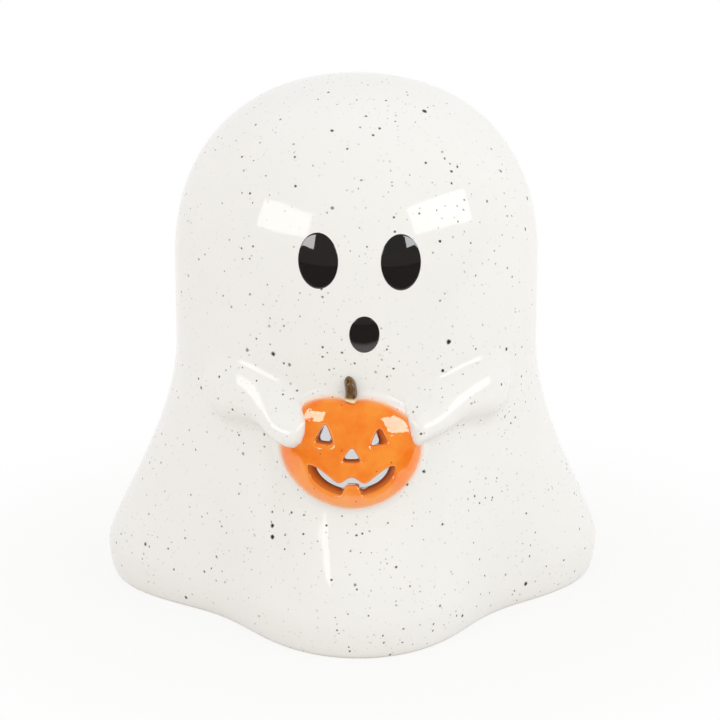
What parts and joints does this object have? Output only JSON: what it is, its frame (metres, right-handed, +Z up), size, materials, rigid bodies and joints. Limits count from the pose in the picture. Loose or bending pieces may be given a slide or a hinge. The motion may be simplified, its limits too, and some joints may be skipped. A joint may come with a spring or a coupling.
{
  "type": "tealight holder",
  "caption": "Hollow glazed ceramic ghost holding a pumpkin lantern with a cut-through face, lit by a tealight that slides in through an arch at the back.",
  "frame": {"origin": "middle of the head's outline on the foot's flat underside", "axes": "+Z up, the ghost faces -Y, +X towards the viewer's right"},
  "size_m": [0.1396, 0.1132, 0.144],
  "materials": {
    "white_glaze": "glossy cream white glaze with dark speckles",
    "orange_glaze": "glossy orange glaze",
    "brown_glaze": "glossy brown glaze",
    "black_glaze": "glossy black glaze",
    "cup_aluminium": "thin drawn foil, satin",
    "wax": "paraffin wax, smooth",
    "cotton_wick": "waxed braided cotton",
    "tab_steel": "tinned steel"
  },
  "bodies": {
    "figure": {"ghost_shell": "white_glaze", "left_arm": "white_glaze", "right_arm": "white_glaze", "pumpkin": "orange_glaze", "pumpkin_stem": "brown_glaze", "left_eye": "black_glaze", "right_eye": "black_glaze", "mouth": "black_glaze"},
    "tealight": {"tealight_cup": "cup_aluminium", "tealight_wax": "wax", "tealight_wick": "cotton_wick", "wick_tab": "tab_steel"}
  },
  "joints": [
    {"name": "tealight_out", "type": "slide", "parent": "figure", "child": "tealight", "axis": [0, 1, 0], "range_m": [0, 0.1]}
  ]
}
